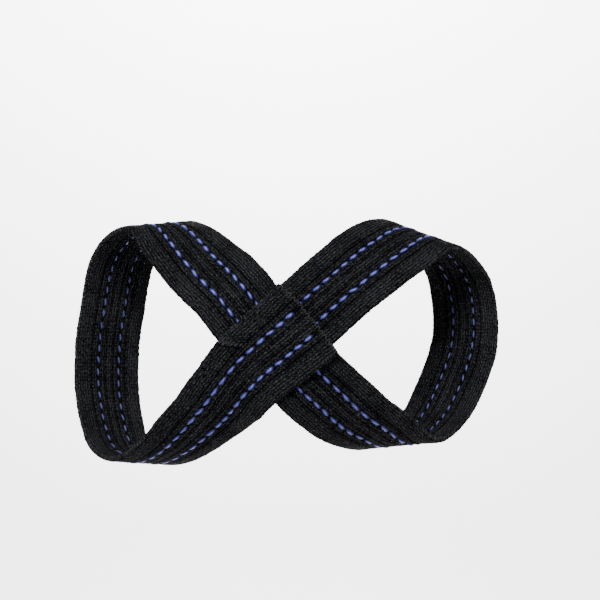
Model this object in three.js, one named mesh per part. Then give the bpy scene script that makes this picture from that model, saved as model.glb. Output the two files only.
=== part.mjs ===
// A figure-8 lifting strap, in the form that it takes in use: one length of padded knitted webbing.
// It crosses itself in front and closes behind in a left and a right loop. Its two ends are lapped
// and sewn at the crossing, where it lies in three layers.
//
// Millimetres, +Z up. +X runs from the left loop to the right one, and +Y from the front of the strap
// to its back. The origin is the middle of the crossing, on its rear face.

import * as THREE from "three";

// Webbing.
const bandWidth = 38;
const bandThickness = 3.5;
const topEndFlare = 1.15; // how far the seam spreads the end that shows, as a share of the width
const layerGap = 0.3; // between the layers of the sewn crossing

// Left loop: crossing to farthest point, bottom to top, and front to back, along the middle line.
const leftLoopReach = 85;
const leftLoopHeight = 112;
const leftLoopDepth = 50;

// Right loop, measured in the same way.
const rightLoopReach = 96;
const rightLoopHeight = 100;
const rightLoopDepth = 52;

// Fineness of the faceted solid.
const sectionsPerRow = 3;
const webbingColour = 0x1c1d21;

// The sizes that the lengths of a row are shares of.
const crossing = { reach: bandWidth, height: bandWidth, depth: bandWidth };
const leftLoop = { reach: leftLoopReach, height: leftLoopHeight, depth: leftLoopDepth };
const rightLoop = { reach: rightLoopReach, height: rightLoopHeight, depth: rightLoopDepth };

// The route of the band's middle line, from the end that is hidden in the crossing to the end that
// shows on top of it. x, z and back are shares of the row's sizes. layer counts from the rear of the
// crossing to its front, and fades as the layers part. The band is ruled: straight lines lie across
// it, and slant and turn are the degrees by which such a line rises from level, and goes back from
// the plane of the crossing.
const route = [
  { on: crossing, x: -0.275, z: -0.195, layer: 0, back: 0, slant: -50, turn: 0 },
  { on: crossing, x: 0.03, z: 0.06, layer: 0, back: 0, slant: -50, turn: 0 },
  { on: crossing, x: 0.385, z: 0.36, layer: 0, back: 0, slant: -49, turn: 0 },
  { on: rightLoop, x: 0.29, z: 0.255, layer: 0, back: 0, slant: -47, turn: 0 },
  { on: rightLoop, x: 0.44, z: 0.375, layer: 0, back: 0.065, slant: -39, turn: -2 },
  { on: rightLoop, x: 0.595, z: 0.48, layer: 0, back: 0.2, slant: -28, turn: -6 },
  { on: rightLoop, x: 0.73, z: 0.53, layer: 0, back: 0.44, slant: -23, turn: -24 },
  { on: rightLoop, x: 0.855, z: 0.465, layer: 0, back: 0.725, slant: -16, turn: -34 },
  { on: rightLoop, x: 0.955, z: 0.335, layer: 0, back: 0.92, slant: -9, turn: -38 },
  { on: rightLoop, x: 1, z: 0.14, layer: 0, back: 1, slant: -3, turn: -38 },
  { on: rightLoop, x: 0.985, z: -0.05, layer: 0, back: 1, slant: -2, turn: -36 },
  { on: rightLoop, x: 0.92, z: -0.215, layer: 0, back: 0.92, slant: -3, turn: -34 },
  { on: rightLoop, x: 0.835, z: -0.36, layer: 0, back: 0.765, slant: 0, turn: -35 },
  { on: rightLoop, x: 0.74, z: -0.445, layer: 0, back: 0.57, slant: 5, turn: -33 },
  { on: rightLoop, x: 0.625, z: -0.48, layer: 0, back: 0.38, slant: 9, turn: -27 },
  { on: rightLoop, x: 0.51, z: -0.427, layer: 0, back: 0.215, slant: 19, turn: -18 },
  { on: rightLoop, x: 0.4, z: -0.36, layer: 0.5, back: 0.135, slant: 26, turn: -13 },
  { on: rightLoop, x: 0.29, z: -0.27, layer: 1, back: 0.08, slant: 38, turn: -5 },
  { on: crossing, x: 0.37, z: -0.375, layer: 1, back: 0, slant: 46, turn: 0 },
  { on: crossing, x: 0, z: 0.015, layer: 1, back: 0, slant: 46, turn: 0 },
  { on: crossing, x: -0.345, z: 0.42, layer: 1, back: 0, slant: 42, turn: 0 },
  { on: leftLoop, x: -0.26, z: 0.24, layer: 1, back: 0.06, slant: 35, turn: 0 },
  { on: leftLoop, x: -0.37, z: 0.32, layer: 0.5, back: 0.115, slant: 22, turn: 1 },
  { on: leftLoop, x: -0.5, z: 0.425, layer: 0, back: 0.225, slant: 7, turn: 6 },
  { on: leftLoop, x: -0.65, z: 0.51, layer: 0, back: 0.475, slant: 7, turn: 34 },
  { on: leftLoop, x: -0.79, z: 0.475, layer: 0, back: 0.735, slant: 4, turn: 39 },
  { on: leftLoop, x: -0.89, z: 0.385, layer: 0, back: 0.895, slant: 0, turn: 40 },
  { on: leftLoop, x: -0.96, z: 0.19, layer: 0, back: 1, slant: -2, turn: 40 },
  { on: leftLoop, x: -1, z: -0.035, layer: 0, back: 1, slant: -3, turn: 40 },
  { on: leftLoop, x: -0.995, z: -0.22, layer: 0, back: 0.935, slant: -3, turn: 41 },
  { on: leftLoop, x: -0.955, z: -0.37, layer: 0, back: 0.815, slant: -6, turn: 43 },
  { on: leftLoop, x: -0.885, z: -0.474, layer: 0, back: 0.655, slant: -10, turn: 42 },
  { on: leftLoop, x: -0.75, z: -0.507, layer: 0, back: 0.455, slant: -8, turn: 38 },
  { on: leftLoop, x: -0.6, z: -0.462, layer: 0, back: 0.275, slant: -6, turn: 30 },
  { on: leftLoop, x: -0.462, z: -0.378, layer: 0.5, back: 0.165, slant: -6, turn: 21 },
  { on: leftLoop, x: -0.34, z: -0.285, layer: 1, back: 0.1, slant: -16, turn: 12 },
  { on: leftLoop, x: -0.245, z: -0.2, layer: 2, back: 0.048, slant: -32, turn: 0 },
  { on: crossing, x: -0.33, z: -0.33, layer: 2, back: 0, slant: -43, turn: 0 },
  { on: crossing, x: 0.005, z: -0.035, layer: 2, back: 0, slant: -49, turn: 0 },
  { on: crossing, x: 0.466, z: 0.358, layer: 2, back: 0, slant: -51, turn: 0 },
];

// Ribs and grooves of one face, from the middle of the band to its rounded edge: across is a share of
// half the width, and lift a share of half the thickness.
const ribs = [
  { across: 0, lift: 1 },
  { across: 0.12, lift: 0.82 },
  { across: 0.21, lift: 0.97 },
  { across: 0.318, lift: 0.74 },
  { across: 0.43, lift: 0.97 },
  { across: 0.51, lift: 0.74 },
  { across: 0.6, lift: 1 },
  { across: 0.86, lift: 0.95 },
  { across: 0.96, lift: 0.6 },
];

// Index of the interval of the knots that holds a place.
function intervalAt(knots, place) {
  let k = 0;
  while (k < knots.length - 2 && place > knots[k + 1]) {
    k += 1;
  }
  return k;
}

// Natural cubic spline: smooth to the second derivative, which is zero at both ends.
function smoothCurve(knots, values) {
  const last = knots.length - 1;
  const bend = new Array(last + 1).fill(0);
  const pivot = new Array(last + 1).fill(1);
  const load = new Array(last + 1).fill(0);
  for (let i = 1; i < last; i += 1) {
    const before = knots[i] - knots[i - 1];
    const after = knots[i + 1] - knots[i];
    const ratio = i > 1 ? before / pivot[i - 1] : 0;
    const change = (values[i + 1] - values[i]) / after - (values[i] - values[i - 1]) / before;
    pivot[i] = 2 * (before + after) - ratio * before;
    load[i] = 6 * change - ratio * load[i - 1];
  }
  for (let i = last - 1; i > 0; i -= 1) {
    bend[i] = (load[i] - (knots[i + 1] - knots[i]) * bend[i + 1]) / pivot[i];
  }
  return (place) => {
    const k = intervalAt(knots, place);
    const span = knots[k + 1] - knots[k];
    const left = knots[k + 1] - place;
    const right = place - knots[k];
    const cubic = (bend[k] * left ** 3 + bend[k + 1] * right ** 3) / (6 * span);
    const fromLeft = (values[k] / span - (bend[k] * span) / 6) * left;
    const fromRight = (values[k + 1] / span - (bend[k + 1] * span) / 6) * right;
    return cubic + fromLeft + fromRight;
  };
}

// Cubic that never passes its values: level stretches stay level, so sewn layers stay parallel.
function levelCurve(knots, values) {
  const rise = [];
  for (let i = 0; i < knots.length - 1; i += 1) {
    rise.push((values[i + 1] - values[i]) / (knots[i + 1] - knots[i]));
  }
  const slope = knots.map((_, i) => {
    const before = rise[i - 1] ?? 0;
    const after = rise[i] ?? 0;
    return before * after > 0 ? (2 * before * after) / (before + after) : 0;
  });
  return (place) => {
    const k = intervalAt(knots, place);
    const span = knots[k + 1] - knots[k];
    const u = (place - knots[k]) / span;
    const start = values[k] * (1 + 2 * u) * (1 - u) ** 2 + slope[k] * span * u * (1 - u) ** 2;
    const finish = values[k + 1] * u ** 2 * (3 - 2 * u) + slope[k + 1] * span * u ** 2 * (u - 1);
    return start + finish;
  };
}

// How far back the band's middle is: its layer's place in the crossing, and its way round the loop.
function depthOf(row) {
  return row.back * row.on.depth - bandThickness / 2 - row.layer * (bandThickness + layerGap);
}

// The band's middle line, with the direction of the ruling at any place along it.
function bandCurve() {
  const points = route.map((row) => (
    new THREE.Vector3(row.x * row.on.reach, depthOf(row), row.z * row.on.height)
  ));
  const knots = [0];
  for (let i = 1; i < points.length; i += 1) {
    knots.push(knots[i - 1] + points[i].distanceTo(points[i - 1]));
  }
  const flareFrom = route.findLastIndex((row) => row.on === leftLoop);
  const flareRows = route.length - 1 - flareFrom;
  const flares = route.map((_, i) => (
    1 + ((topEndFlare - 1) * Math.max(0, i - flareFrom)) / flareRows
  ));
  const x = smoothCurve(knots, points.map((point) => point.x));
  const y = levelCurve(knots, points.map((point) => point.y));
  const z = smoothCurve(knots, points.map((point) => point.z));
  const slant = smoothCurve(knots, route.map((row) => THREE.MathUtils.degToRad(row.slant)));
  const turn = levelCurve(knots, route.map((row) => THREE.MathUtils.degToRad(row.turn)));
  const flare = levelCurve(knots, flares);
  return {
    knots,
    pointAt: (place) => new THREE.Vector3(x(place), y(place), z(place)),
    rulingAt: (place) => new THREE.Vector3(
      Math.cos(slant(place)) * Math.cos(turn(place)),
      Math.sin(turn(place)),
      Math.sin(slant(place)) * Math.cos(turn(place)),
    ),
    flareAt: flare,
  };
}

// Places of the sections: the rows, and evenly spaced ones between them.
function sectionPlaces(knots) {
  const places = [];
  for (let i = 0; i < knots.length - 1; i += 1) {
    for (let step = 0; step < sectionsPerRow; step += 1) {
      places.push(knots[i] + ((knots[i + 1] - knots[i]) * step) / sectionsPerRow);
    }
  }
  places.push(knots[knots.length - 1]);
  return places;
}

// The outline of the ribbed section, once round: outer face from edge to edge, then inner face back.
function sectionOutline() {
  const half = ribs.slice(1).reverse();
  const face = [
    ...half.map((rib) => ({ across: -rib.across, lift: rib.lift })),
    ...ribs,
  ];
  const inner = face.map((rib) => ({ across: -rib.across, lift: -rib.lift }));
  return [{ across: -1, lift: 0 }, ...face, { across: 1, lift: 0 }, ...inner];
}

// Where the outline lies at one place: along the ruling, and out from the face. A ruling that leans
// from square to the band is longer by the same measure, so the band keeps its width.
function sectionPoints(curve, place, outline) {
  const nearby = 0.05;
  const end = curve.knots[curve.knots.length - 1];
  const ahead = curve.pointAt(Math.min(place + nearby, end));
  const behind = curve.pointAt(Math.max(place - nearby, 0));
  const along = ahead.sub(behind).normalize();
  const ruling = curve.rulingAt(place);
  const lean = Math.asin(ruling.dot(along));
  const outward = new THREE.Vector3().crossVectors(ruling, along).normalize();
  const halfWidth = (bandWidth / 2) * curve.flareAt(place) / Math.cos(lean);
  const halfThickness = bandThickness / 2;
  const middle = curve.pointAt(place);
  return outline.map((rib) => middle.clone()
    .addScaledVector(ruling, rib.across * halfWidth)
    .addScaledVector(outward, rib.lift * halfThickness));
}

// Faces of a cut end: strips from each point of the outer face to the one opposite on the inner face.
// At the rounded edges the two are one point, and the face without area there is left out.
function capFaces(round) {
  const opposite = (j) => (round - j) % round;
  const faces = [];
  for (let j = 0; j < round / 2; j += 1) {
    faces.push([j, opposite(j + 1), j + 1]);
    faces.push([j, opposite(j), opposite(j + 1)]);
  }
  return faces.filter(([a, b, c]) => a !== b && b !== c && c !== a);
}

// One closed body: the outline carried along the route, and both cut ends closed.
function webbingGeometry() {
  const curve = bandCurve();
  const outline = sectionOutline();
  const places = sectionPlaces(curve.knots);
  const round = outline.length;
  const positions = [];
  const faces = [];
  for (const place of places) {
    for (const point of sectionPoints(curve, place, outline)) {
      positions.push(point.x, point.y, point.z);
    }
  }
  for (let i = 0; i < places.length - 1; i += 1) {
    for (let j = 0; j < round; j += 1) {
      const near = i * round + j;
      const nearNext = i * round + ((j + 1) % round);
      faces.push(near, nearNext, near + round);
      faces.push(nearNext, nearNext + round, near + round);
    }
  }
  const last = (places.length - 1) * round;
  for (const [a, b, c] of capFaces(round)) {
    faces.push(a, b, c);
    faces.push(last + a, last + c, last + b);
  }
  const geometry = new THREE.BufferGeometry();
  geometry.setAttribute("position", new THREE.Float32BufferAttribute(positions, 3));
  geometry.setIndex(faces);
  geometry.computeVertexNormals();
  return geometry;
}

const webbing = new THREE.MeshStandardMaterial({ color: webbingColour, roughness: 0.95, metalness: 0 });

const webbingBand = new THREE.Mesh(webbingGeometry(), webbing);
webbingBand.name = "webbing_band";

const group = new THREE.Group();
group.add(webbingBand);

export default group;
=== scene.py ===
# %% [markdown]
# # A figure-8 lifting strap
#
# The real object is one length of padded, knitted webbing, sewn to itself where it crosses. It is
# near black, ribbed along its length, and two lines of blue thread run down each of its faces.
#
# The lesson makes it in four layers: the webbing itself, the blue stitches, the black stitches of
# the seam, and the loose fibres that every used strap has. All four follow one curve, so the curve
# comes first.

# %% Imports, and the frame that the strap is built in
import math

import bpy
import numpy as np
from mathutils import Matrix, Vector


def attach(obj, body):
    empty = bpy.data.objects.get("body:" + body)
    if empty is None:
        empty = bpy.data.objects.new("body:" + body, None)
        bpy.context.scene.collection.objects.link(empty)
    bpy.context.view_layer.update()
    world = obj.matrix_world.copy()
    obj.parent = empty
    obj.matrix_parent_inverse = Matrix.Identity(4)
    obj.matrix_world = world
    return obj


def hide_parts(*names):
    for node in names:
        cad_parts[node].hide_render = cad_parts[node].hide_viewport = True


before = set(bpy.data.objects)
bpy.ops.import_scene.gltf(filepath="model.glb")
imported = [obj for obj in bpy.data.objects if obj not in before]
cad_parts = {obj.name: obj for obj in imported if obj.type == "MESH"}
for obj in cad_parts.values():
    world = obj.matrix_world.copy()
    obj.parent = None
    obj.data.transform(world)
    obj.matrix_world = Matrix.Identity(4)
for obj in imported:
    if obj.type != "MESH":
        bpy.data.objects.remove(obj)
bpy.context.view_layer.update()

# %% [markdown]
# ## The curve of the band
#
# A strap in use is a ribbon: it can bend and twist, but it doesn't stretch or shrink across. It could
# be drawn as a curve object with a flat bevel, but then Blender decides how the ribbon twists.
# Instead each row below says where the middle of the band is, and how a straight line that lies
# across the band points there. Such a ruled surface is what real webbing makes of itself.
#
# x, z and back are shares of the loop's reach, height and depth. layer counts from the rear of the
# crossing to its front. slant and turn are degrees: how far the line across the band rises from
# level, and how far it goes back.

# %% Sizes of the webbing and of its loops, in metres
BAND_WIDTH = 0.038
BAND_THICKNESS = 0.0035
TOP_END_FLARE = 1.15  # how far the seam spreads the end that shows, as a share of the width
LAYER_GAP = 0.0003  # between the layers of the sewn crossing

CROSSING = {"reach": BAND_WIDTH, "height": BAND_WIDTH, "depth": BAND_WIDTH}
LEFT_LOOP = {"reach": 0.085, "height": 0.112, "depth": 0.050}
RIGHT_LOOP = {"reach": 0.096, "height": 0.100, "depth": 0.052}
print("reach of the two loops:", LEFT_LOOP["reach"], "and", RIGHT_LOOP["reach"], "m")


# %% The route, from the end that is hidden in the crossing to the end that shows on top of it
def row(on, x, z, layer, back, slant, turn):
    """One place of the route: its sizes, its middle as shares of them, and its line across."""
    return {"on": on, "x": x, "z": z, "layer": layer, "back": back, "slant": slant, "turn": turn}


ROUTE = [
    row(CROSSING, x=-0.275, z=-0.195, layer=0, back=0, slant=-50, turn=0),
    row(CROSSING, x=0.03, z=0.06, layer=0, back=0, slant=-50, turn=0),
    row(CROSSING, x=0.385, z=0.36, layer=0, back=0, slant=-49, turn=0),
    row(RIGHT_LOOP, x=0.29, z=0.255, layer=0, back=0, slant=-47, turn=0),
    row(RIGHT_LOOP, x=0.44, z=0.375, layer=0, back=0.065, slant=-39, turn=-2),
    row(RIGHT_LOOP, x=0.595, z=0.48, layer=0, back=0.2, slant=-28, turn=-6),
    row(RIGHT_LOOP, x=0.73, z=0.53, layer=0, back=0.44, slant=-23, turn=-24),
    row(RIGHT_LOOP, x=0.855, z=0.465, layer=0, back=0.725, slant=-16, turn=-34),
    row(RIGHT_LOOP, x=0.955, z=0.335, layer=0, back=0.92, slant=-9, turn=-38),
    row(RIGHT_LOOP, x=1, z=0.14, layer=0, back=1, slant=-3, turn=-38),
    row(RIGHT_LOOP, x=0.985, z=-0.05, layer=0, back=1, slant=-2, turn=-36),
    row(RIGHT_LOOP, x=0.92, z=-0.215, layer=0, back=0.92, slant=-3, turn=-34),
    row(RIGHT_LOOP, x=0.835, z=-0.36, layer=0, back=0.765, slant=0, turn=-35),
    row(RIGHT_LOOP, x=0.74, z=-0.445, layer=0, back=0.57, slant=5, turn=-33),
    row(RIGHT_LOOP, x=0.625, z=-0.48, layer=0, back=0.38, slant=9, turn=-27),
    row(RIGHT_LOOP, x=0.51, z=-0.427, layer=0, back=0.215, slant=19, turn=-18),
    row(RIGHT_LOOP, x=0.4, z=-0.36, layer=0.5, back=0.135, slant=26, turn=-13),
    row(RIGHT_LOOP, x=0.29, z=-0.27, layer=1, back=0.08, slant=38, turn=-5),
    row(CROSSING, x=0.37, z=-0.375, layer=1, back=0, slant=46, turn=0),
    row(CROSSING, x=0, z=0.015, layer=1, back=0, slant=46, turn=0),
    row(CROSSING, x=-0.345, z=0.42, layer=1, back=0, slant=42, turn=0),
    row(LEFT_LOOP, x=-0.26, z=0.24, layer=1, back=0.06, slant=35, turn=0),
    row(LEFT_LOOP, x=-0.37, z=0.32, layer=0.5, back=0.115, slant=22, turn=1),
    row(LEFT_LOOP, x=-0.5, z=0.425, layer=0, back=0.225, slant=7, turn=6),
    row(LEFT_LOOP, x=-0.65, z=0.51, layer=0, back=0.475, slant=7, turn=34),
    row(LEFT_LOOP, x=-0.79, z=0.475, layer=0, back=0.735, slant=4, turn=39),
    row(LEFT_LOOP, x=-0.89, z=0.385, layer=0, back=0.895, slant=0, turn=40),
    row(LEFT_LOOP, x=-0.96, z=0.19, layer=0, back=1, slant=-2, turn=40),
    row(LEFT_LOOP, x=-1, z=-0.035, layer=0, back=1, slant=-3, turn=40),
    row(LEFT_LOOP, x=-0.995, z=-0.22, layer=0, back=0.935, slant=-3, turn=41),
    row(LEFT_LOOP, x=-0.955, z=-0.37, layer=0, back=0.815, slant=-6, turn=43),
    row(LEFT_LOOP, x=-0.885, z=-0.474, layer=0, back=0.655, slant=-10, turn=42),
    row(LEFT_LOOP, x=-0.75, z=-0.507, layer=0, back=0.455, slant=-8, turn=38),
    row(LEFT_LOOP, x=-0.6, z=-0.462, layer=0, back=0.275, slant=-6, turn=30),
    row(LEFT_LOOP, x=-0.462, z=-0.378, layer=0.5, back=0.165, slant=-6, turn=21),
    row(LEFT_LOOP, x=-0.34, z=-0.285, layer=1, back=0.1, slant=-16, turn=12),
    row(LEFT_LOOP, x=-0.245, z=-0.2, layer=2, back=0.048, slant=-32, turn=0),
    row(CROSSING, x=-0.33, z=-0.33, layer=2, back=0, slant=-43, turn=0),
    row(CROSSING, x=0.005, z=-0.035, layer=2, back=0, slant=-49, turn=0),
    row(CROSSING, x=0.466, z=0.358, layer=2, back=0, slant=-51, turn=0),
]
print("route:", len(ROUTE), "rows")

# %% [markdown]
# ## Two ways to join the rows
#
# Seen from the front, the band bends as smoothly as cloth does, so x, z and slant take a natural cubic
# spline, which has no jump in its bend. Depth and turn are another matter: the layers of the sewn
# crossing lie flat on each other, and a natural spline would swing past them. They take a cubic that
# never passes its own values, so that what is level stays level.


# %% The smooth curve and the level curve
def spans_of(knots, places):
    """Index of the span that holds each place, and how far along that span it is, from 0 to 1."""
    k = np.clip(np.searchsorted(knots, places, side="right") - 1, 0, len(knots) - 2)
    return k, (places - knots[k]) / (knots[k + 1] - knots[k])


def smooth_curve(knots, values):
    """Natural cubic spline through the values.

    Its second derivative m runs straight on each span and is 0 at both ends. Equal slopes on both
    sides of each inner knot give h0 m0 + 2 (h0 + h1) m1 + h1 m2 = 6 (rise1 - rise0).
    """
    span = np.diff(knots)
    rise = np.diff(values) / span
    matrix = np.diag(np.r_[1, 2 * (span[:-1] + span[1:]), 1])
    matrix += np.diag(np.r_[span[:-1], 0], -1) + np.diag(np.r_[0, span[1:]], 1)
    bend = np.linalg.solve(matrix, np.r_[0, 6 * np.diff(rise), 0])

    def at(places):
        k, u = spans_of(knots, places)
        curved = (1 - u) ** 3 * bend[k] + u**3 * bend[k + 1]
        straight = (1 - u) * bend[k] + u * bend[k + 1]
        return (1 - u) * values[k] + u * values[k + 1] + (curved - straight) * span[k] ** 2 / 6

    return at


def level_curve(knots, values):
    """Cubic that never passes its values.

    The slope at a knot is the harmonic mean 2 r0 r1 / (r0 + r1) of the rises on both sides, or 0
    where they differ in sign, and each span is the Hermite cubic of its two values and slopes.
    """
    span = np.diff(knots)
    rise = np.diff(values) / span
    before, after = np.r_[0, rise], np.r_[rise, 0]
    same_way = before * after > 0
    slope = np.where(same_way, 2 * before * after / np.where(same_way, before + after, 1), 0)

    def at(places):
        k, u = spans_of(knots, places)
        start = values[k] * (1 + 2 * u) * (1 - u) ** 2 + slope[k] * span[k] * u * (1 - u) ** 2
        finish = values[k + 1] * u**2 * (3 - 2 * u) + slope[k + 1] * span[k] * u**2 * (u - 1)
        return start + finish

    return at


print("a level curve stays level:", level_curve(np.arange(4.0), np.array([0, 0, 1, 1]))(0.5))


# %% The band's own frame: middle, line across, outward and along
def column(name):
    """One column of the route as an array."""
    return np.array([float(place[name]) for place in ROUTE])


def size_column(name):
    """One size of every row's loop as an array."""
    return np.array([place["on"][name] for place in ROUTE])


layer_step = BAND_THICKNESS + LAYER_GAP
row_x = column("x") * size_column("reach")
row_z = column("z") * size_column("height")
row_y = column("back") * size_column("depth") - BAND_THICKNESS / 2 - column("layer") * layer_step
row_middles = np.stack([row_x, row_y, row_z], axis=1)
knots = np.r_[0, np.cumsum(np.linalg.norm(np.diff(row_middles, axis=0), axis=1))]

flare_from = max(i for i, place in enumerate(ROUTE) if place["on"] is LEFT_LOOP)
flare_share = np.clip((np.arange(len(ROUTE)) - flare_from) / (len(ROUTE) - 1 - flare_from), 0, 1)

x_at = smooth_curve(knots, row_x)
y_at = level_curve(knots, row_y)
z_at = smooth_curve(knots, row_z)
slant_at = smooth_curve(knots, np.radians(column("slant")))
turn_at = level_curve(knots, np.radians(column("turn")))
flare_at = level_curve(knots, 1 + (TOP_END_FLARE - 1) * flare_share)


NEARBY = 5e-5  # step of the route that gives its direction


def unit(vectors):
    """Each vector divided by its own length."""
    return vectors / np.linalg.norm(vectors, axis=-1, keepdims=True)


def middle_at(places):
    """The middle of the band: (x, y, z) of each place."""
    return np.stack([x_at(places), y_at(places), z_at(places)], axis=-1)


def band_frame(places):
    """Middle, line across, outward and along at each place.

    The line across is (cos slant cos turn, sin turn, sin slant cos turn) times half the width. Where
    it leans from square to the band by an angle, it is longer by 1 / cos of that angle. Outward is
    the cross product of the line across and the direction along.
    """
    ahead = middle_at(np.minimum(places + NEARBY, knots[-1]))
    behind = middle_at(np.maximum(places - NEARBY, 0))
    along = unit(ahead - behind)
    slant, turn = slant_at(places), turn_at(places)
    across = np.stack(
        [np.cos(slant) * np.cos(turn), np.sin(turn), np.sin(slant) * np.cos(turn)], axis=-1
    )
    lean_cosine = np.sqrt(1 - np.sum(across * along, axis=-1) ** 2)
    outward = unit(np.cross(across, along))
    half_width = BAND_WIDTH / 2 * flare_at(places) / lean_cosine
    return middle_at(places), across * half_width[:, None], outward, along


fine = np.linspace(0, knots[-1], 4001)
steps = np.linalg.norm(np.diff(middle_at(fine), axis=0), axis=1)
length_at_fine = np.r_[0, np.cumsum(steps)]
BAND_LENGTH = length_at_fine[-1]
print(f"band: {1000 * BAND_LENGTH:.0f} mm long")

# %% [markdown]
# ## The section of the webbing
#
# The webbing is a padded knit. Across it lie a wide band at each edge and a few ribs, with grooves
# between them, and the blue thread runs in two of the grooves. All of this is a height over half the
# band's width, so it is written as one formula: half the thickness, less a smooth dip at each groove.
# Dips in the mesh show at the outline and hold shadows of their own, which a bump map can't give.

# %% Grooves, ribs and the rounded edge
LINE_ACROSS = 0.318  # the line of blue thread, as a share of half the width
GROOVES = [  # places and widths are shares of half the width too
    {"across": 0.12, "width": 0.045, "depth": 0.00034},
    {"across": LINE_ACROSS, "width": 0.062, "depth": 0.00050},
    {"across": 0.52, "width": 0.048, "depth": 0.00062},
]
EDGE_ROUND = 0.085  # share of half the width that the rounded edge takes up
EDGE_POINTS = 6
FACE_POINTS = 53
GROOVE_CROWD = 2.2  # how much closer together the points of a face are in a groove
GROOVE_SPREAD = 1.6  # over how many widths of the groove


def face_height(across):
    """Half the thickness, less depth * exp(-((|across| - groove) / width)^2) for each groove."""
    height = np.full_like(across, BAND_THICKNESS / 2)
    for groove in GROOVES:
        dip = np.exp(-(((np.abs(across) - groove["across"]) / groove["width"]) ** 2))
        height -= groove["depth"] * dip
    return height


def face_places():
    """Places across one face, closer together where the cloth is grooved.

    The points' density is 1 + GROOVE_CROWD exp(-(distance / spread)^2) for each groove.
    """
    flat = 1 - EDGE_ROUND
    even = np.linspace(-flat, flat, 2001)
    crowd = np.ones_like(even)
    for groove in GROOVES:
        spread = GROOVE_SPREAD * groove["width"]
        crowd += GROOVE_CROWD * np.exp(-(((np.abs(even) - groove["across"]) / spread) ** 2))
    measure = np.r_[0, np.cumsum((crowd[1:] + crowd[:-1]) / 2)]
    return np.interp(np.linspace(0, measure[-1], FACE_POINTS), measure, even)


def section_outline():
    """(across, height) once round: outer face, right edge, inner face, left edge.

    An edge is half an ellipse: across = flat + EDGE_ROUND * cos(angle), height = edge * sin(angle).
    """
    face = face_places()
    outer = np.stack([face, face_height(face)], axis=1)
    angle = np.linspace(np.pi / 2, -np.pi / 2, EDGE_POINTS + 2)[1:-1]
    edge_height = outer[-1, 1]
    right = np.stack([1 - EDGE_ROUND + EDGE_ROUND * np.cos(angle), edge_height * np.sin(angle)], 1)
    return np.concatenate([outer, right, -outer, -right])


outline = section_outline()
print("section:", len(outline), "points round")

# %% [markdown]
# ## Slow irregularities
#
# Webbing that has been used is never quite straight. Its edges wander by a few tenths of a
# millimetre, the ribs swell and shrink, and the cloth ripples where it turns. A sum of a few sine
# waves with fixed phases does this, and gives the same strap each time.


# %% Slow waves along the band
def wander(lengths, seed, longest=0.09, waves=7):
    """Sum of sines of falling wavelength, sin(2 pi length / wavelength + phase), at most 1 high."""
    random = np.random.default_rng(seed)
    wavelengths = longest / (1 + np.arange(waves) * random.uniform(0.6, 1.1, waves))
    phases = random.uniform(0, 2 * np.pi, waves)
    weights = 1 / np.sqrt(1 + np.arange(waves))
    angles = 2 * np.pi * lengths[..., None] / wavelengths + phases
    return np.sum(np.sin(angles) * weights, axis=-1) / np.sum(weights)


print("one wave at three places:", wander(np.array([0, 0.1, 0.2]), seed=3).round(2))

# %% [markdown]
# ## The webbing itself
#
# The section is carried along the curve, as a Curve's bevel would be, but each point can then be
# moved by its own amount. Webbing needs that in three places. A row of stitches draws a cut end in
# and thins it, the corners of the end that shows are pulled back, and where the top layer is pushed
# together at the crossing it makes one short crease.

# %% Sizes of the webbing's surface
SECTIONS = 780
END_SECTIONS = 18  # more of them over SEAM_ZONE at each end
SEAM_ZONE = 0.005
SEAM_LIP = 0.0008  # from a cut end to the middle of its row of stitches
SEAM_DIP = 0.00065
SEAM_DIP_WIDTH = 0.0006
DEEPEST_DIP = 0.8  # as a share of half the thickness
END_ROUND = 0.0008  # a cut end thins over this length
END_THINNEST = 0.04  # share left of it at the end itself, before the root
CORNER_PULL = (0.0022, 0.0010)  # how far the stitches draw in the two corners of the end that shows
PULL_LENGTH = 0.006
EDGE_WANDER = 0.0004
RIPPLE = 0.00011
RIPPLE_LENGTH = 0.04
RIPPLE_SKEW = 0.012 * np.pi  # how far ahead it runs at one edge of the band
LUMPS = (0.00012, 0.00005)  # of single loops, sideways and outwards, from point to point
SEEDS = {"right edge": 3, "left edge": 4, "ripple": 5, "lumps": 8}
CREASE = {"start": (-0.0268, 0.0016), "end": (-0.0145, -0.0003), "height": 0.0011, "width": 0.0012}
CREASED_LENGTH = 0.06  # the crease is on the top layer, this far from its end at most
print("crease:", round(1000 * (CREASE["end"][0] - CREASE["start"][0]), 1), "mm long")


# %% The webbing's surface
def places_of(lengths):
    """Places on the route that lie at these lengths along the band."""
    return np.interp(lengths, length_at_fine, fine)


def section_lengths():
    """Even steps along the band, and finer ones over a few millimetres at each end, for the seams."""
    even = np.linspace(SEAM_ZONE, BAND_LENGTH - SEAM_ZONE, SECTIONS)
    fine_steps = np.linspace(0, SEAM_ZONE, END_SECTIONS, endpoint=False)
    return np.r_[fine_steps, even, BAND_LENGTH - fine_steps[::-1]]


def drawn_in(across):
    """How far the end that shows is drawn in: pull * |across|^3, with its own pull on each side."""
    return np.where(across < 0, *CORNER_PULL) * np.abs(across) ** 3


def crease_height(places):
    """A bell, height * exp(-(distance / width)^2), across the line between two (x, z) ends."""
    start, end = np.array(CREASE["start"]), np.array(CREASE["end"])
    way = end - start
    offset = places[..., [0, 2]] - start
    share = np.clip(offset @ way / (way @ way), 0, 1)
    distance = np.linalg.norm(offset - share[..., None] * way, axis=-1)
    return CREASE["height"] * np.exp(-((distance / CREASE["width"]) ** 2))


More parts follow.
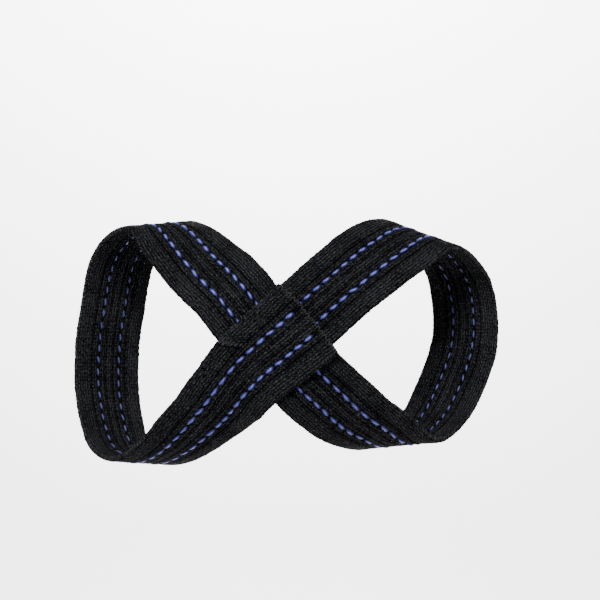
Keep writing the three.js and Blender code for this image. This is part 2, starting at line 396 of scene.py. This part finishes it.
def webbing_points(lengths, profile):
    """Points of the webbing: middle + across * line across + height * outward.

    Across is stretched at the edges by a slow wave. Height is thinned by a bell at the row of
    stitches and by the root of the distance to the cut end, and raised along the crease. The corners
    of the end that shows are drawn in.
    """
    middle, line_across, outward, along = band_frame(places_of(lengths))
    across = np.broadcast_to(profile[:, 0], (len(lengths), len(profile))).copy()
    height = np.broadcast_to(profile[:, 1], across.shape).copy()
    half = BAND_WIDTH / 2
    right_wave = wander(lengths, SEEDS["right edge"])[:, None]
    left_wave = wander(lengths, SEEDS["left edge"])[:, None]
    across *= 1 + EDGE_WANDER / half * np.where(across > 0, right_wave, left_wave)
    skewed = lengths[:, None] + RIPPLE_SKEW * profile[:, 0]
    height += RIPPLE * wander(skewed, SEEDS["ripple"], longest=RIPPLE_LENGTH) * np.sign(height)
    lumps = np.random.default_rng(SEEDS["lumps"]).normal(0, 1, (2, *across.shape))
    across += LUMPS[0] * lumps[0] / half
    height += LUMPS[1] * lumps[1]
    nearest_end = np.minimum(BAND_LENGTH - lengths, lengths)
    dip = SEAM_DIP * np.exp(-(((nearest_end - SEAM_LIP) / SEAM_DIP_WIDTH) ** 2))[:, None]
    height -= np.sign(height) * np.minimum(np.abs(height) * DEEPEST_DIP, dip)
    height *= np.sqrt(np.clip(nearest_end / END_ROUND, END_THINNEST, 1))[:, None]
    flat = middle[:, None] + across[..., None] * line_across[:, None]
    near_top_end = np.exp(-(((BAND_LENGTH - lengths) / PULL_LENGTH) ** 2))[:, None]
    flat -= (drawn_in(across) * near_top_end)[..., None] * along[:, None]
    on_top = (lengths > BAND_LENGTH - CREASED_LENGTH)[:, None] & (height > 0)
    height += np.where(on_top, crease_height(flat), 0)
    return flat + height[..., None] * outward[:, None]


print("sections:", len(section_lengths()))

# %% [markdown]
# ## One maker for every mesh
#
# The webbing, a blue stitch, a bead of the seam and a fibre are the same thing to Blender: rings of
# points, joined in order and closed at both ends. An Array modifier could repeat a stitch, but no
# two stitches on the real strap are alike, so one function joins a whole array of tubes at once.


# %% One mesh from tubes, each of them a grid of points
def enclosed_volume(points, quads):
    """A sixth of the sum of a . (b x c) over all triangles. It is negative if faces point inwards."""
    a, b, c, d = (points[quads[:, corner]] for corner in range(4))
    return np.sum(a * (np.cross(b, c) + np.cross(c, d))) / 6


def tube_mesh(name, points, uvs):
    """One piece from an array of tubes by rings by points, each tube closed round and at both ends.

    The face at ring i and point j joins (i, j), (i, j+1), (i+1, j+1) and (i+1, j). An end is closed
    by strips that join each point to the one opposite, so there is an even number of points round.
    """
    tubes, rings, around = points.shape[:3]
    i, j = np.meshgrid(np.arange(rings - 1), np.arange(around), indexing="ij")
    near, next_near = i * around + j, i * around + (j + 1) % around
    sides = np.stack([near, next_near, next_near + around, near + around], axis=-1).reshape(-1, 4)
    strip = np.arange(around // 2 - 1)
    opposite = around - 1 - strip
    cap = np.stack([strip, opposite, opposite - 1, strip + 1], axis=-1)
    one_tube = np.concatenate([sides, cap, (rings - 1) * around + cap[:, ::-1]])
    quads = (one_tube + (np.arange(tubes) * rings * around)[:, None, None]).reshape(-1, 4)
    flat_points = points.reshape(-1, 3)
    if enclosed_volume(flat_points, quads) < 0:
        quads = quads[:, ::-1]
    mesh = bpy.data.meshes.new(name)
    mesh.from_pydata(flat_points.tolist(), [], quads.tolist())
    mesh.polygons.foreach_set("use_smooth", np.ones(len(quads), dtype=bool))
    corner_uvs = uvs.reshape(-1, 2)[quads.ravel()]
    mesh.uv_layers.new(name="UVMap").data.foreach_set("uv", corner_uvs.ravel().astype("f"))
    mesh.update()
    piece = bpy.data.objects.new(name, mesh)
    bpy.context.scene.collection.objects.link(piece)
    return piece


lengths = section_lengths()
grid = (len(lengths), len(outline))
length_map = np.broadcast_to(lengths[:, None], grid)
across_map = np.broadcast_to(outline[:, 0] * BAND_WIDTH / 2, grid)
webbing_uvs = np.stack([length_map, across_map], axis=-1)
webbing = tube_mesh("knitted_webbing", webbing_points(lengths, outline)[None], webbing_uvs[None])
print("webbing:", len(webbing.data.polygons), "faces")

# %% [markdown]
# ## Shader maths as plain sums
#
# A knit is a pattern of small loops, and a pattern is a formula. In the node editor a formula takes
# dozens of Math nodes, so a small class wraps a socket and turns each Python operator into one.


# %% Socket arithmetic
class Value:
    """A number that comes out of a node. An operator on it adds the Math node that works it out."""

    def __init__(self, tree, socket):
        self.tree = tree
        self.socket = socket

    def node(self, kind, settings=(), inputs=(), output=0):
        """Any node: its type, its settings, and values or links for its sockets."""
        made = self.tree.nodes.new(kind)
        for key, setting in dict(settings).items():
            if key == "stops":
                set_stops(made.color_ramp, setting)
            else:
                setattr(made, key, setting)
        for key, given in dict(inputs).items():
            if isinstance(given, Value):
                self.tree.links.new(given.socket, made.inputs[key])
            else:
                made.inputs[key].default_value = given
        return Value(self.tree, made.outputs[output])

    def maths(self, operation, *others):
        given = dict(enumerate((self, *others)))
        return self.node("ShaderNodeMath", {"operation": operation}, given)

    def __add__(self, other):
        return self.maths("ADD", other)

    def __sub__(self, other):
        return self.maths("SUBTRACT", other)

    def __rsub__(self, other):
        return self.node("ShaderNodeMath", {"operation": "SUBTRACT"}, {0: other, 1: self})

    def __mul__(self, other):
        return self.maths("MULTIPLY", other)

    def __truediv__(self, other):
        return self.maths("DIVIDE", other)

    def __abs__(self):
        return self.maths("ABSOLUTE")

    __radd__ = __add__
    __rmul__ = __mul__

    def sine(self):
        return self.maths("SINE")

    def fraction(self):
        return self.maths("FRACT")

    def clamped(self):
        return self.node("ShaderNodeClamp", {}, {"Value": self})

    def bell(self, centre, width):
        """exp(-((value - centre) / width)^2), a smooth bump of height 1."""
        offset = (self - centre) / width
        return (offset * offset * -1).maths("EXPONENT")


def set_stops(ramp, stops):
    """Gives a colour ramp its stops: (position, colour) pairs, the first at the left."""
    while len(ramp.elements) < len(stops):
        ramp.elements.new(1)
    for element, (position, colour) in zip(ramp.elements, stops):
        element.position = position
        element.color = (*colour, 1)


print("operators on sockets: + - * / and abs")


# %% Materials, noise and mixed colours
def new_material(name):
    """A material with its Principled shader, and a Value that starts the expressions in it."""
    material = bpy.data.materials.new(name)
    material.use_nodes = True
    tree = material.node_tree
    shader = tree.nodes["Principled BSDF"]
    start = Value(tree, None)
    return material, shader, start


def feed(shader, **given):
    """Links values to the shader's sockets, or sets them, by the socket's name with _ for a space."""
    for key, value in given.items():
        socket = shader.inputs[key.replace("_", " ")]
        if isinstance(value, Value):
            value.tree.links.new(value.socket, socket)
        else:
            socket.default_value = value


def noise(start, where, scale, detail, roughness=0.5):
    """Noise of 0 to 1, about 0.5 on average. Scale is in features a metre."""
    settings = {"noise_dimensions": "3D"}
    given = {"Vector": where, "Scale": scale, "Detail": detail, "Roughness": roughness}
    return start.node("ShaderNodeTexNoise", settings, given)


def mix_colours(start, share, first, second):
    """First colour where share is 0, second where it is 1."""
    settings = {"data_type": "RGBA"}
    return start.node("ShaderNodeMix", settings, {0: share, 6: first, 7: second}, output=2)


print("shader maths ready")

# %% [markdown]
# ## The knit
#
# Close up, the webbing is rows of small V-shaped loops, about a millimetre and a half wide, that run
# along the band. The loops are bump: they are too small to show at the outline. The colour holds
# painted light too: a painted highlight on the loops and painted shade between them and in the
# grooves. The formula takes the UV map, which holds the length along the band and the distance across
# it in metres, so the rows bend with the band. The one crease gets its painted highlight and shadow
# from its place instead, as it runs across the rows.

# %% Painted highlight and shadow of the crease
CREASE_DEPTH = {"y": -0.0113, "width": 0.0015}  # of the creased face
CREASE_FADE = 0.6  # width of the bell along the crease, as a share of its length
# Painted highlight on the crease's ridge, and painted shadow in the fold under it.
PAINTED_RIDGE_HIGHLIGHT = {"above": 0.0002, "width": 0.0005, "shade": 0.4}
PAINTED_FOLD_SHADOW = {"above": -0.0011, "width": 0.0006, "shade": 0.4}


def crease_painted_light(start, where):
    """Painted highlight along the crease and painted shadow just below it: a bell at its line less one
    under it.

    The line's height is z = start + slope (x - start). Bells in x and y keep it to the crease.
    """
    x, y, z = (start.node("ShaderNodeSeparateXYZ", {}, {0: where}, output=axis) for axis in range(3))
    (start_x, start_z), (end_x, end_z) = CREASE["start"], CREASE["end"]
    above = z - start_z - (x - start_x) * ((end_z - start_z) / (end_x - start_x))
    near = x.bell((start_x + end_x) / 2, (end_x - start_x) * CREASE_FADE)
    near = near * y.bell(CREASE_DEPTH["y"], CREASE_DEPTH["width"])
    ridge = above.bell(PAINTED_RIDGE_HIGHLIGHT["above"], PAINTED_RIDGE_HIGHLIGHT["width"]) * PAINTED_RIDGE_HIGHLIGHT["shade"]
    return near * (ridge - above.bell(PAINTED_FOLD_SHADOW["above"], PAINTED_FOLD_SHADOW["width"]) * PAINTED_FOLD_SHADOW["shade"])


print("crease: paler by up to", PAINTED_RIDGE_HIGHLIGHT["shade"], "and darker by up to", PAINTED_FOLD_SHADOW["shade"])

# %% Webbing material
LOOP_WIDTH = 0.00140
LOOP_PITCH = 0.00180
LOOP_LEAN = 0.55
# Darkest colour of the knit: the cloth's own black, and painted shade between the loops and in the
# grooves.
KNIT_BLACK_AND_PAINTED_SHADE = (0.0028, 0.0028, 0.0032, 1)
# Lightest colour: painted highlight on the loops and glints, and the paler patches of the cloth.
KNIT_PALE_AND_PAINTED_HIGHLIGHT = (0.056, 0.057, 0.064, 1)
KNIT_BUMP = 0.0012
UNEVEN_LOOPS = 420  # features a metre, as in the next two
PATCHES = 90
STREAKS = (520, 1500)  # along the band and across it
# Painted shade in each groove: the width of the darkening and how dark it is.
GROOVE_PAINTED_SHADES = [  # one for each groove
    {"width": 0.035, "share": 1.0},
    {"width": 0.060, "share": 1.5},
    {"width": 0.045, "share": 1.0},
]


def webbing_material():
    """Knit of V-shaped loops, with painted shade between them and in the grooves.

    Loop height = (1 - d^2) * (0.5 + 0.5 sin(2 pi (along / pitch + LOOP_LEAN d))), where d is 0 in the
    middle of a row of loops and 1 at its sides. Each loop catches the light by its own amount, painted
    as a highlight: the colour's share is a weighted sum of the loops, their rows, streaks and patches,
    less painted shade in the grooves.
    """
    material, shader, start = new_material("charcoal knit")
    uv = start.node("ShaderNodeUVMap", {"uv_map": "UVMap"})
    along = start.node("ShaderNodeSeparateXYZ", {}, {0: uv}, output=0)
    across = start.node("ShaderNodeSeparateXYZ", {}, {0: uv}, output=1)
    where = start.node("ShaderNodeTexCoord", output=3)
    on_streaks = {0: along * STREAKS[0], 1: across * STREAKS[1]}
    stretched = start.node("ShaderNodeCombineXYZ", {}, on_streaks)
    uneven = noise(start, where, scale=UNEVEN_LOOPS, detail=2)
    patchy = noise(start, where, scale=PATCHES, detail=4)
    streaks = noise(start, stretched, scale=1, detail=3, roughness=0.6)

    row_place = across / LOOP_WIDTH + (uneven - 0.5) * 0.6
    from_row_middle = abs(row_place.fraction() - 0.5) * 2
    rows = 1 - from_row_middle * from_row_middle
    turn = along / LOOP_PITCH + from_row_middle * LOOP_LEAN + (uneven - 0.5) * 2.0
    loops = rows * ((turn * (2 * math.pi)).sine() * 0.5 + 0.5)
    relief = loops * 0.8 + rows * 0.4 + streaks * 0.7 + patchy * 0.3

    share_across = abs(across) / (BAND_WIDTH / 2)
    # Painted shade in the grooves: the colour is darker where the cloth dips.
    groove = 0
    for cut, shade in zip(GROOVES, GROOVE_PAINTED_SHADES):
        groove = groove + share_across.bell(cut["across"], shade["width"]) * shade["share"]

    # Painted glints: streaks of painted highlight where loops catch the light.
    painted_glint = ((streaks - 0.5) * 3.0 + 0.5).clamped()
    # Painted highlight on loops and glints, painted shade between loops and in grooves, and the
    # cloth's own patchy tone.
    tone_and_painted_light = loops * 0.45 + rows * 0.15 + painted_glint * 0.6 + (patchy - 0.5) * 0.6 - groove * 0.3
    tone_and_painted_light = (tone_and_painted_light - 0.30 + crease_painted_light(start, where)).clamped()
    colour = mix_colours(start, tone_and_painted_light, KNIT_BLACK_AND_PAINTED_SHADE, KNIT_PALE_AND_PAINTED_HIGHLIGHT)
    given = {"Strength": 1.0, "Distance": KNIT_BUMP, "Height": relief}
    bump = start.node("ShaderNodeBump", {}, given)
    feed(shader, Base_Color=colour, Roughness=0.9 - tone_and_painted_light * 0.15, Normal=bump)
    feed(shader, Specular_IOR_Level=0.02)
    return material


webbing.data.materials.append(webbing_material())
print("webbing material:", len(webbing.data.materials[0].node_tree.nodes), "nodes")

# %% [markdown]
# ## The blue stitches
#
# A thick blue yarn is carried in two channels on each face. Every 6 mm it dives towards the knit and
# comes up again, so what shows is a chain of plump spindles, joined by thin necks and each a little
# twisted. One spindle is a tube whose radius swells and shrinks. All of them are worked out at once,
# as one array of stitches by rings by points, and become one mesh for each line. On the inner face
# the yarn lies deeper, so less of it shows.

# %% The shape of one blue stitch
SWELL_END = 0.78  # share of half its length where a spindle has thinned to its neck
STITCH_RINGS = np.array([-1, -SWELL_END, -0.68, -0.38, 0.38, 0.68, SWELL_END, 1])
STITCH_POINTS = 6
FULLNESS = 0.45  # the smaller, the blunter a spindle's ends
TWIST = 0.12
FLATNESS = 0.72  # height of a spindle as a share of its width
RISE = 0.00036  # of a spindle's middle over its ends
DIVE = 0.00012  # of its ends into the cloth
OUTER_YARN = {"length": 0.0061, "width": 0.00212, "sunk": 0.00005, "neck": 0.28}
INNER_YARN = {"length": 0.0054, "width": 0.00150, "sunk": 0.00014, "neck": 0.13}


def spindle(u, angle, yarn):
    """(along, side, up) of a twisted spindle.

    u runs from -1 to 1. radius = half width * (neck + (1 - neck) (1 - (u / SWELL_END)^2)^FULLNESS),
    times 1 + TWIST cos(2 (angle - 2 u)). The middle rises as 1 - u^2 and both ends dive as u^4.
    """
    bulge = np.clip(1 - (u / SWELL_END) ** 2, 0, 1) ** FULLNESS
    swell = yarn["neck"] + (1 - yarn["neck"]) * bulge
    radius = yarn["width"] / 2 * swell * (1 + TWIST * np.cos(2 * (angle - 2 * u)))
    lift = RISE * (1 - u**2) - DIVE * u**4 - yarn["sunk"]
    return yarn["length"] / 2 * u, radius * np.cos(angle), lift + FLATNESS * radius * np.sin(angle)


print(f"a spindle's top: {1000 * spindle(0, math.pi / 2, OUTER_YARN)[2]:.2f} mm over its groove")

# %% Four lines of blue stitches
STITCH_PITCH = 0.0060
HIDDEN_END_MARGIN = 0.004
TOP_END_MARGIN = 0.0048
LINE_WANDER = 0.00028
LINE_WANDER_LENGTH = 0.05
UNEVEN = {"scale": 0.06, "skew": (0.08, 0.06), "sunk": 0.00006, "place": 0.00012}


def on_band(lengths, across, height):
    """Middle + across * line across + height * outward, at these lengths along the band."""
    middle, line_across, outward, _ = band_frame(places_of(lengths.ravel()))
    spot = (*lengths.shape, 3)
    return (
        middle.reshape(spot)
        + across[..., None] * line_across.reshape(spot)
        + height[..., None] * outward.reshape(spot)
    )


def stitch_line(name, side, face, yarn, seed):
    """All the spindles of one line: side is -1 or 1 across the band, face 1 outside and -1 inside.

    Each one has its own scale, its own skew (sideways for each metre along), depth and place.
    """
    random = np.random.default_rng(seed)
    last = BAND_LENGTH - TOP_END_MARGIN - yarn["length"] / 2
    centres = np.arange(last, HIDDEN_END_MARGIN, -STITCH_PITCH)
    each = (len(centres), 1, 1)
    scale = 1 + random.normal(0, UNEVEN["scale"], each)
    skew = random.normal(*UNEVEN["skew"], each)
    sunk = np.abs(random.normal(0, UNEVEN["sunk"], each))
    u = STITCH_RINGS[None, :, None]
    angle = np.linspace(0, 2 * np.pi, STITCH_POINTS, endpoint=False)[None, None, :]
    along, sideways, up = spindle(u, angle, yarn)
    places = centres + random.normal(0, UNEVEN["place"], len(centres))
    lengths = places[:, None, None] + along + 0 * angle
    wave = LINE_WANDER * wander(lengths, seed, LINE_WANDER_LENGTH)
    sideways = sideways * scale + skew * along + wave
    across = side * LINE_ACROSS + sideways / (BAND_WIDTH / 2)
    floor_height = face_height(np.array([LINE_ACROSS]))[0]
    height = face * (floor_height + up * scale - sunk)
    uvs = np.stack(np.broadcast_arrays(u + 0 * lengths, np.cos(angle)), axis=-1)
    return tube_mesh(name, on_band(lengths, across, height), uvs)


blue_lines = [
    stitch_line(f"blue_stitches_{face_name}_{side_name}", side, face, yarn, seed)
    for face_name, side_name, side, face, yarn, seed in [
        ("outer", "low", -1, 1, OUTER_YARN, 21),
        ("outer", "high", 1, 1, OUTER_YARN, 22),
        ("inner", "low", -1, -1, INNER_YARN, 23),
        ("inner", "high", 1, -1, INNER_YARN, 24),
    ]
]
print("blue stitches:", sum(len(line.data.polygons) for line in blue_lines), "faces")

# %% [markdown]
# ## The shade of the yarn
#
# Soft yarn has strands that run round it. Its colour holds a painted highlight where it stands up, and
# painted shade, almost black, where it dives into the knit. One plain blue would look like plastic. An
# image could be painted, but the shade depends only on the place of a point on its own spindle. So the
# UV map holds that place, and a formula turns it into a place on a ramp of three blues. On the inner
# face the blues are darker, as painted shade.

# %% Blue yarn material
YARN_STRANDS = 1700  # features a metre
YARN_BUMP = 0.0002
WINDING = {"along": 8, "round": 4, "shade": 0.12}


def blue_yarn(name, stops):
    """Dark blue painted shade at the necks and flanks, a pale painted highlight where a spindle stands
    up, with strands wound round.

    The UV map holds u along the spindle and c, the cosine of the angle round it, so a place stands
    up by (1 - u^2) (1 - c^2), and the strands follow the sine of along * u + round * c.
    """
    material, shader, start = new_material(name)
    uv = start.node("ShaderNodeUVMap", {"uv_map": "UVMap"})
    u = start.node("ShaderNodeSeparateXYZ", {}, {0: uv}, output=0)
    c = start.node("ShaderNodeSeparateXYZ", {}, {0: uv}, output=1)
    where = start.node("ShaderNodeTexCoord", output=3)
    strands = noise(start, where, scale=YARN_STRANDS, detail=3)
    # How far a place stands up: it sets the painted highlight.
    standing = (1 - u * u).clamped() * (1 - c * c).clamped()
    wound = (u * WINDING["along"] + c * WINDING["round"]).sine() * WINDING["shade"]
    share = (standing * 1.6 + wound + (strands - 0.5) * 0.8 - 0.55).clamped()
    colour = start.node("ShaderNodeValToRGB", {"stops": stops}, {"Fac": share})
    given = {"Strength": 0.7, "Distance": YARN_BUMP, "Height": strands}
    bump = start.node("ShaderNodeBump", {}, given)
    feed(shader, Base_Color=colour, Roughness=0.66 - share * 0.16, Normal=bump)
    feed(shader, Specular_IOR_Level=0.35, Sheen_Weight=0.04, Sheen_Roughness=0.4)
    return material


# Ramp from painted shade at the necks and flanks to painted highlight where a spindle stands up.
OUTER_BLUES = [
    (0.0, (0.003, 0.004, 0.035)),
    (0.5, (0.015, 0.018, 0.158)),
    (1.0, (0.088, 0.094, 0.365)),
]
# The same ramp, darker: painted shade on the inner face.
SHADED_INNER_BLUES = [
    (0.0, (0.002, 0.003, 0.018)),
    (0.5, (0.012, 0.013, 0.090)),
    (1.0, (0.060, 0.062, 0.230)),
]

outer_blue = blue_yarn("blue yarn", OUTER_BLUES)
shaded_inner_blue = blue_yarn("shaded blue yarn", SHADED_INNER_BLUES)
for line, blue in zip(blue_lines, [outer_blue, outer_blue, shaded_inner_blue, shaded_inner_blue]):
    line.data.materials.append(blue)
print("blue yarn on", len(blue_lines), "lines")

# %% [markdown]
# ## The seam at each cut end
#
# Both ends of the webbing are overcast with a zigzag of dark thread, which keeps the knit from
# unravelling and holds the end down. It is the same kind of mesh as the blue stitches: one small
# bead that bends over the cut end, repeated with alternating lean.

# %% Zigzag stitches across the two ends
SEAM_PITCH = 0.00112
SEAM_REACH = 0.0024  # length of one zigzag stitch
SEAM_THREAD = 0.00048
SEAM_RINGS = 7
SEAM_POINTS = 6
SEAM_SHARE = 0.93  # of the width that the row of stitches takes up
SEAM_JITTER = 0.00006
SEAM_SEED = 31
BEAD_END = 0.97  # u of a bead's first and last ring, short of 1 so that they have a size
BEAD_FULLNESS = 0.35
BEAD_DEPTH = 0.9  # share of the dip that a bead lies in
BEAD_RISE = 0.00035
BEAD_DROP = 0.0010  # how far a bead reaches down over the cut end


def seam_stitches(name, end, inward, face):
    """Beads along one end: bead k crosses the seam's line and leans by (-1)^k of half a pitch.

    end is the length at which the band is cut, and inward is 1 or -1, the way into the band.
    u runs from -1, beyond the cut end, to 1. The bead rises as 1 - u^2, drops over the end as u^2,
    and its radius is half the thread * (1 - u^2)^BEAD_FULLNESS.
    """
    half = BAND_WIDTH / 2
    random = np.random.default_rng(SEAM_SEED + int(end > 0))
    centres = np.arange(-SEAM_SHARE * half, SEAM_SHARE * half, SEAM_PITCH)
    lean = np.where(np.arange(len(centres)) % 2, 1, -1)[:, None, None]
    jitter = random.normal(0, SEAM_JITTER, (len(centres), 1, 1))
    u = np.linspace(-BEAD_END, BEAD_END, SEAM_RINGS)[None, :, None]
    angle = np.linspace(0, 2 * np.pi, SEAM_POINTS, endpoint=False)[None, None, :]
    radius = SEAM_THREAD / 2 * (1 - u**2) ** BEAD_FULLNESS
    shift = lean * u * SEAM_PITCH / 2 + radius * np.cos(angle) + jitter
    across = (centres[:, None, None] + shift) / half
    from_end = SEAM_LIP + u * SEAM_REACH / 2 + jitter + (drawn_in(across) if end > 0 else 0)
    lengths = end + inward * from_end + 0 * shift
    floor_height = face_height(across) - SEAM_DIP * BEAD_DEPTH
    lift = BEAD_RISE * (1 - u**2) - BEAD_DROP * np.clip(-u, 0, 1) ** 2
    height = face * (floor_height + lift + radius * np.sin(angle))
    uvs = np.stack(np.broadcast_arrays(u + 0 * lengths, np.sin(angle)), axis=-1)
    return tube_mesh(name, on_band(lengths, across, height), uvs)


THREAD_SHADE = (0.006, 0.006, 0.007, 1)
THREAD_LIGHT = (0.046, 0.046, 0.045, 1)
THREAD_STRANDS = 3000  # features a metre


def dark_thread():
    """Matt thread, a little paler than the cloth."""
    material, shader, start = new_material("dark seam thread")
    where = start.node("ShaderNodeTexCoord", output=3)
    strands = noise(start, where, scale=THREAD_STRANDS, detail=2)
    share = ((strands - 0.5) * 1.6 + 0.5).clamped()
    colour = mix_colours(start, share, THREAD_SHADE, THREAD_LIGHT)
    feed(shader, Base_Color=colour, Roughness=0.9 - strands * 0.2, Specular_IOR_Level=0.2)
    return material


seams = [
    seam_stitches("seam_top_end", BAND_LENGTH, -1, 1),
    seam_stitches("seam_hidden_end", 0, 1, -1),
]
thread = dark_thread()
for seam in seams:
    seam.data.materials.append(thread)
print("seam stitches:", sum(len(seam.data.polygons) for seam in seams), "faces")

# %% [markdown]
# ## Loose fibres
#
# Cotton and polyester shed ends as they wear, so a used strap has a faint fuzz, thickest along its
# edges. Blender's hair would do it on screen but doesn't leave with the exported model, so here a
# fibre is one more tube, four rings long, and all of them are one mesh.

# %% Fibres that stand off the cloth
FIBRE_COUNT = 2600
FIBRE_RADIUS = 0.000024
FIBRE_REACH = (0.0005, 0.0017)
FIBRE_CURL = 0.45
FIBRE_TAPER = 0.7
FIBRE_MARGIN = 0.002  # none roots closer to a cut end
EDGE_SHARE = 0.55  # of the fibres that root on an edge
ON_EDGE = {"across": 0.99, "height": 0.5}  # shares of half the width and half the thickness
ON_FACE = {"across": 0.9, "height": 0.8}
FIBRE_RINGS = 4
FIBRE_POINTS = 4


def loose_fibres(seed):
    """Fibres at random places of the faces and edges.

    With s from 0 at the root to 1 at the tip, the middle line is root + reach * (s * away +
    s^2 * curl), and the radius is FIBRE_RADIUS * (1 - FIBRE_TAPER s).
    """
    random = np.random.default_rng(seed)
    root_length = random.uniform(FIBRE_MARGIN, BAND_LENGTH - FIBRE_MARGIN, FIBRE_COUNT)
    on_edge = random.random(FIBRE_COUNT) < EDGE_SHARE
    side = random.choice([-1.0, 1.0], FIBRE_COUNT)
    anywhere = random.uniform(-ON_FACE["across"], ON_FACE["across"], FIBRE_COUNT)
    across = np.where(on_edge, ON_EDGE["across"] * side, anywhere)
    any_height = random.uniform(-ON_EDGE["height"], ON_EDGE["height"], FIBRE_COUNT)
    height = np.where(on_edge, any_height, ON_FACE["height"] * side) * BAND_THICKNESS / 2
    root = on_band(root_length, across, height)
    _, line_across, outward, along = band_frame(places_of(root_length))
    away = np.where(on_edge[:, None], unit(line_across), outward) * side[:, None]
    curl = random.normal(0, FIBRE_CURL, (FIBRE_COUNT, 3))
    reach = random.uniform(*FIBRE_REACH, FIBRE_COUNT)[:, None, None]
    s = np.linspace(0, 1, FIBRE_RINGS)[None, :, None]
    middle_line = root[:, None] + reach * (s * away[:, None] + s**2 * curl[:, None])
    first_side = unit(np.cross(away, along + 0.1))
    second_side = unit(np.cross(away, first_side))
    angle = np.linspace(0, 2 * np.pi, FIBRE_POINTS, endpoint=False)[:, None]
    ring = np.cos(angle) * first_side[:, None] + np.sin(angle) * second_side[:, None]
    radius = FIBRE_RADIUS * (1 - FIBRE_TAPER * s)
    points = middle_line[:, :, None] + radius[..., None] * ring[:, None]
    uvs = np.stack(np.broadcast_arrays(s, np.sin(angle[None, :, 0]) + 0 * reach), axis=-1)
    return tube_mesh("loose_fibres", points, uvs)


def fibre_material():
    """Near black, and a little paler than the knit, as single fibres catch the light."""
    material, shader, _ = new_material("loose fibre")
    feed(shader, Base_Color=(0.022, 0.022, 0.026, 1), Roughness=0.8, Specular_IOR_Level=0.2)
    return material


fibres = loose_fibres(41)
fibres.data.materials.append(fibre_material())
print("loose fibres:", len(fibres.data.polygons), "faces")

# %% [markdown]
# ## What the pieces are to the frame
#
# Every piece follows the one body. The webbing stands for the plain solid, which is then hidden.

# %% Bodies, and the hidden solid
for piece in [webbing, *blue_lines, *seams, fibres]:
    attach(piece, "root")
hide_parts("webbing_band")

# %% [markdown]
# ## Light, floor and camera
#
# A near-black cloth shows its ribs only by what it reflects, so the lights are large and soft. The
# key light stands in front and above. One light is turned to the wall behind the strap and not to the
# strap, or it would wash out the edges. The floor is pale and far below, as the strap doesn't rest on
# it.

# %% Floor
FLOOR_DEPTH = 0.9  # below the strap
FLOOR_FRONT = -3.0
HALF_FLOOR = 3.2
WALL = {"at": 2.2, "top": 2.6, "bend": 0.5}


def pale_stage():
    """A floor that turns up into a wall behind the strap, along a quarter circle of radius bend."""
    turn = np.linspace(0, np.pi / 2, 13)
    bend = WALL["bend"]
    y = np.r_[FLOOR_FRONT, WALL["at"] - bend + bend * np.sin(turn), WALL["at"]]
    z = np.r_[0, bend - bend * np.cos(turn), WALL["top"]] - FLOOR_DEPTH
    left = np.stack([np.full_like(y, -HALF_FLOOR), y, z], axis=1)
    right = left * [-1, 1, 1]
    rows = len(y)
    points = np.concatenate([left, right])
    near = np.arange(rows - 1)
    faces = np.stack([near, near + rows, near + rows + 1, near + 1], axis=1)
    mesh = bpy.data.meshes.new("pale_floor")
    mesh.from_pydata(points.tolist(), [], faces.tolist())
    mesh.polygons.foreach_set("use_smooth", np.ones(len(faces), dtype=bool))
    floor = bpy.data.objects.new("pale_floor", mesh)
    bpy.context.scene.collection.objects.link(floor)
    material, shader, _ = new_material("pale paper")
    feed(shader, Base_Color=(0.86, 0.86, 0.86, 1), Roughness=0.9)
    mesh.materials.append(material)
    return floor


floor = pale_stage()
print("floor and wall:", len(floor.data.polygons), "faces")


# %% Lights
LIGHTS = [
    {"name": "key", "place": (-0.15, -1.0, 0.95), "target": (0, 0, 0), "size": 0.5, "power": 42},
    {"name": "back", "place": (0.9, 1.0, 0.4), "target": (0, 0.03, 0), "size": 0.8, "power": 3},
    {"name": "wall", "place": (0, 0.9, 1.3), "target": (0, 2.2, 0.5), "size": 1.2, "power": 270},
]
WORLD_STRENGTH = 0.25


def soft_light(name, place, target, size, power):
    """A square area light at a place, turned to its target."""
    light = bpy.data.lights.new(name, "AREA")
    light.size = size
    light.energy = power
    lamp = bpy.data.objects.new(name, light)
    lamp.location = place
    direction = Vector(target) - Vector(place)
    lamp.rotation_mode = "QUATERNION"
    lamp.rotation_quaternion = direction.to_track_quat("-Z", "Y")
    bpy.context.scene.collection.objects.link(lamp)


for light in LIGHTS:
    soft_light(**light)
world = bpy.data.worlds.new("studio")
bpy.context.scene.world = world
world.use_nodes = True
background = world.node_tree.nodes["Background"]
background.inputs["Color"].default_value = (1, 1, 1, 1)
background.inputs["Strength"].default_value = WORLD_STRENGTH
print("lights:", [light["name"] for light in LIGHTS])

# %% Camera
CAMERA_PLACE = (0.01235, -0.750, 0.021375)
LENS = 94.7  # millimetres, as is the sensor
SENSOR = 36


def add_camera():
    """A long lens, level and straight ahead, at the height of the picture's middle."""
    data = bpy.data.cameras.new("camera")
    data.lens = LENS
    data.sensor_width = SENSOR
    camera = bpy.data.objects.new("camera", data)
    camera.location = CAMERA_PLACE
    camera.rotation_euler = (math.pi / 2, 0, 0)
    bpy.context.scene.collection.objects.link(camera)
    bpy.context.scene.camera = camera
    return camera


camera = add_camera()
print("camera:", camera.location[:])
